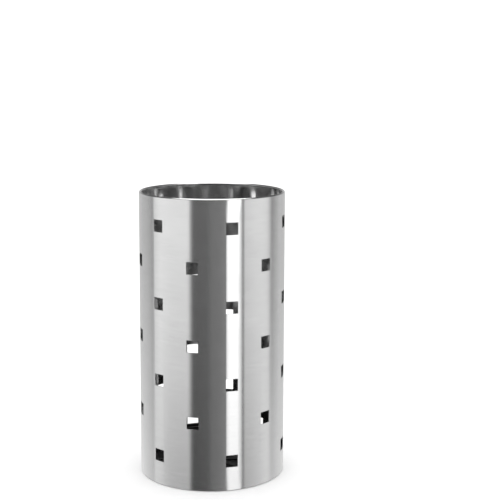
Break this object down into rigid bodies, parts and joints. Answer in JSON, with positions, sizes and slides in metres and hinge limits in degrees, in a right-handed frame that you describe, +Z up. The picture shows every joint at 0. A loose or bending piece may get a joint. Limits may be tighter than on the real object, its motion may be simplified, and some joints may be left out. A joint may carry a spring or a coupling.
{
  "type": "umbrella stand",
  "caption": "Free-standing cylindrical umbrella stand: square-perforated brushed steel tube with a curled rim, a base pan on rubber feet and a lift-out drip tray.",
  "frame": {"origin": "on the floor, at the middle of the stand's footprint, under the tube's axis", "axes": "+Z up along the tube's axis, -Y to the front, midway between two columns of holes; the welded seam at the back left, 119 degrees round from the front"},
  "size_m": [0.254, 0.2539, 0.5],
  "materials": {
    "brushed_stainless": "satin, brushed round the tube",
    "weld": "ground flush and brushed",
    "pan_steel": "dull mill finish",
    "tray_plastic": "fine moulded texture",
    "foot_rubber": "matt"
  },
  "bodies": {
    "stand": {"body_shell": "brushed_stainless", "seam_weld": "weld", "base_pan": "pan_steel", "rubber_foot_back_right": "foot_rubber", "rubber_foot_back_left": "foot_rubber", "rubber_foot_front_left": "foot_rubber", "rubber_foot_front_right": "foot_rubber"},
    "tray": {"drip_tray": "tray_plastic"}
  },
  "joints": [
    {"name": "tray_lift", "type": "slide", "parent": "stand", "child": "tray", "axis": [0, 0, 1], "range_m": [0, 0.52]}
  ]
}
